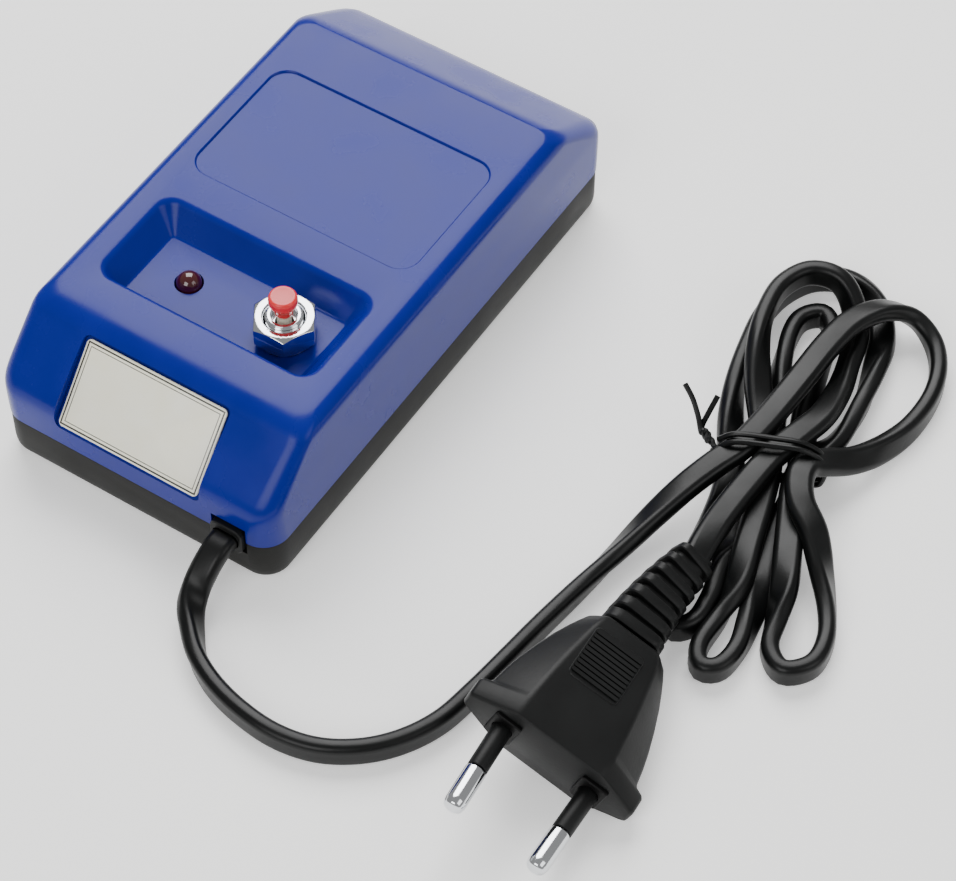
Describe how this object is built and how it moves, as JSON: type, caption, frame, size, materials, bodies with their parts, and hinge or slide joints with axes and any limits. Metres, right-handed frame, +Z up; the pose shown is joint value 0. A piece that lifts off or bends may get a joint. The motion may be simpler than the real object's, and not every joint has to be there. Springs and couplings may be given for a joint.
{
  "type": "demagnetizer",
  "caption": "Watchmaker's bench demagnetizer: blue-topped case with a bordered working pad, push button and lamp in a pocket, and a tied flat mains lead with its plug",
  "frame": {"origin": "on the bench, under the centre of the case", "axes": "+X across the case to its right seen from the rating plate, +Y along the case away from the rating plate, +Z up"},
  "size_m": [0.1569, 0.1498, 0.0385],
  "materials": {
    "body": "glossy moulded ABS",
    "base": "moulded ABS",
    "plate": "lacquered foil",
    "rubber": "moulded",
    "steel": "zinc plated",
    "chrome": "nickel-chrome plated",
    "lamp": "red diffused epoxy",
    "diode": "moulded epoxy",
    "resistor": "lacquered",
    "brass": "stamped",
    "button": "moulded",
    "nylon": "moulded nylon",
    "core": "silicon steel laminations",
    "copper": "enamelled copper wire",
    "tape": "polyester tape",
    "wire_brown": "PVC",
    "wire_blue": "PVC",
    "wire_red": "PVC",
    "cord": "satin PVC",
    "plug": "moulded PVC",
    "pins": "nickel-plated brass"
  },
  "bodies": {
    "case": {"top_shell": "body", "base_shell": "base", "rating_plate": "plate", "foot_front_left": "rubber", "foot_front_right": "rubber", "foot_back_left": "rubber", "foot_back_right": "rubber", "case_screw_front_left": "steel", "case_screw_front_right": "steel", "case_screw_back_left": "steel", "case_screw_back_right": "steel", "lamp_lens": "lamp", "lamp_lead_cathode": "steel", "lamp_lead_anode": "steel", "lamp_diode": "diode", "lamp_resistor": "resistor", "switch_body": "base", "switch_terminal_live": "brass", "switch_terminal_load": "brass", "switch_bush": "chrome", "switch_washer": "steel", "switch_nut": "chrome", "return_spring": "steel", "core_laminations": "core", "coil_bobbin": "nylon", "coil_winding": "copper", "coil_wrap": "tape", "coil_tag_neutral": "brass", "coil_tag_load": "brass", "core_frame": "steel", "core_screw_left": "steel", "core_screw_right": "steel", "wire_live": "wire_brown", "wire_neutral": "wire_blue", "wire_coil_feed": "wire_brown", "wire_lamp_feed": "wire_red", "wire_lamp_return": "wire_blue", "cord_clamp_bar": "base", "clamp_screw_front": "steel", "clamp_screw_back": "steel", "cord_grommet": "cord", "cord_inner_end": "cord", "cord_lead": "cord", "cord_hank": "cord", "cord_tail": "cord", "twist_tie": "cord", "plug_body": "plug", "plug_pin_left": "pins", "plug_pin_right": "pins", "pin_sleeve_left": "plug", "pin_sleeve_right": "plug"},
    "button": {"button_cap": "button", "button_plunger": "nylon", "moving_contact": "brass"}
  },
  "joints": [
    {"name": "button_press", "type": "slide", "parent": "case", "child": "button", "axis": [0, 0, -1], "range_m": [0, 0.0015], "stiffness_N_per_m": 600, "springref_m": -0.002, "deforming": ["return_spring"]}
  ]
}
